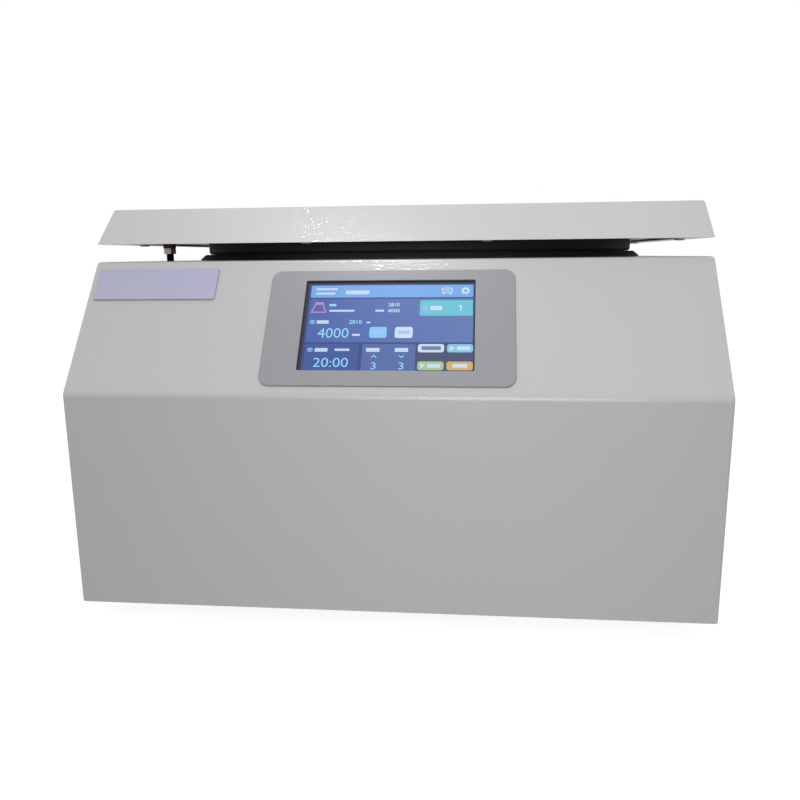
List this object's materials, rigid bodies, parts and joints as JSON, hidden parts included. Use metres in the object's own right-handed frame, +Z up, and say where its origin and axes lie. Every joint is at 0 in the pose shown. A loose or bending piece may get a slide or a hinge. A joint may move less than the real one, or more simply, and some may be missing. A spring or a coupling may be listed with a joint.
{
  "type": "milk fat centrifuge",
  "caption": "Bench centrifuge with a hinged lid, slanted touch panel, steel chamber and swing-out bucket rotor for milk fat tests.",
  "frame": {"origin": "on the floor under the middle of the case", "axes": "+X to the right of someone facing the panel, +Y to the back, +Z up"},
  "size_m": [0.42, 0.53, 0.2755],
  "materials": {
    "case_paint": "fine orange-peel powder coat, light warm grey",
    "steel_plate": "dark grey primer",
    "rear_paint": "light grey powder coat",
    "stainless": "spun and brushed",
    "zinc_steel": "bright zinc plate",
    "bright_steel": "ground",
    "black_steel": "black oxide",
    "black_rubber": "matt",
    "black_plastic": "moulded, fine texture",
    "coil_iron": "varnished iron",
    "magnet_coat": "nickel and epoxy coat",
    "cast_aluminium": "as cast",
    "rotor_aluminium": "machined and anodised",
    "bucket_aluminium": "satin anodised",
    "nut_aluminium": "black anodised",
    "bezel_grey": "satin mid grey",
    "screen_glass": "cover glass over a lit display",
    "board_green": "solder mask",
    "standoff_nylon": "natural nylon",
    "capacitor_sleeve": "shrink sleeve",
    "plate_grey": "bare printed plate, pale lavender grey"
  },
  "bodies": {
    "chassis": {"base_plate": "steel_plate", "rubber_feet": "black_rubber", "foot_screws": "zinc_steel", "housing": "case_paint", "rear_panel": "rear_paint", "case_screws": "zinc_steel", "deck_plate": "steel_plate", "deck_posts": "steel_plate", "chamber_bowl": "stainless", "guard_ring": "steel_plate", "chamber_collar": "black_rubber", "vibration_mounts": "black_rubber", "motor_bracket": "steel_plate", "motor_bolts": "zinc_steel", "motor_housing": "cast_aluminium", "motor_cap": "cast_aluminium", "motor_bearings": "bright_steel", "motor_stator": "coil_iron", "motor_boot": "black_rubber", "hinge_body_leaves": "zinc_steel", "hinge_pins": "bright_steel", "hinge_body_screws": "zinc_steel", "lock_frame": "steel_plate", "lock_solenoid": "coil_iron", "display_screen": "screen_glass", "display_bezel": "bezel_grey", "display_module": "black_plastic", "display_board": "board_green", "drive_board": "board_green", "board_standoffs": "standoff_nylon", "drive_capacitors": "capacitor_sleeve", "heat_sink": "cast_aluminium", "power_inlet": "black_plastic", "inlet_blades": "bright_steel", "switch_frame": "black_plastic", "fan_frame": "black_plastic", "fan_guard": "zinc_steel", "blank_plate": "plate_grey"},
    "lid": {"lid_shell": "case_paint", "lid_liner": "case_paint", "lid_ring": "black_rubber", "lid_screws": "zinc_steel", "hinge_lid_leaves": "zinc_steel", "hinge_lid_screws": "zinc_steel", "striker_stud": "black_steel", "striker_spacer": "black_plastic", "striker_nuts": "zinc_steel"},
    "rotor": {"motor_shaft": "bright_steel", "motor_magnets": "magnet_coat", "rotor_yoke": "rotor_aluminium", "trunnion_pins": "bright_steel", "rotor_nut": "nut_aluminium"},
    "lock_bolt": {"lock_bolt": "zinc_steel"},
    "switch_rocker": {"switch_rocker": "black_plastic"},
    "fan_impeller": {"fan_impeller": "black_plastic"},
    "bucket_1": {"bucket_1": "bucket_aluminium"},
    "bucket_2": {"bucket_2": "bucket_aluminium"},
    "bucket_3": {"bucket_3": "bucket_aluminium"},
    "bucket_4": {"bucket_4": "bucket_aluminium"}
  },
  "joints": [
    {"name": "lid_hinge", "type": "hinge", "parent": "chassis", "child": "lid", "pos_m": [0, 0.258, 0.2436], "axis": [-1, 0, 0], "range_deg": [0, 70]},
    {"name": "rotor_spin", "type": "hinge", "parent": "chassis", "child": "rotor", "pos_m": [0, 0.007, 0.2082], "axis": [0, 0, 1], "continuous": true},
    {"name": "bucket_1_swing", "type": "hinge", "parent": "rotor", "child": "bucket_1", "pos_m": [0.078, 0.007, 0.2082], "axis": [0, -1, 0], "range_deg": [-8, 90]},
    {"name": "bucket_2_swing", "type": "hinge", "parent": "rotor", "child": "bucket_2", "pos_m": [0, 0.085, 0.2082], "axis": [1, 0, 0], "range_deg": [-8, 90]},
    {"name": "bucket_3_swing", "type": "hinge", "parent": "rotor", "child": "bucket_3", "pos_m": [-0.078, 0.007, 0.2082], "axis": [0, 1, 0], "range_deg": [-8, 90]},
    {"name": "bucket_4_swing", "type": "hinge", "parent": "rotor", "child": "bucket_4", "pos_m": [0, -0.071, 0.2082], "axis": [-1, 0, 0], "range_deg": [-8, 90]},
    {"name": "lock_bolt_slide", "type": "slide", "parent": "chassis", "child": "lock_bolt", "axis": [-1, 0, 0], "range_m": [0, 0.009], "stiffness_N_per_m": 150},
    {"name": "switch_rock", "type": "hinge", "parent": "chassis", "child": "switch_rocker", "pos_m": [-0.15, 0.258, 0.092], "axis": [-1, 0, 0], "range_deg": [0, 18]},
    {"name": "fan_spin", "type": "hinge", "parent": "chassis", "child": "fan_impeller", "pos_m": [0.095, 0.2453, 0.071], "axis": [0, 1, 0], "continuous": true}
  ]
}
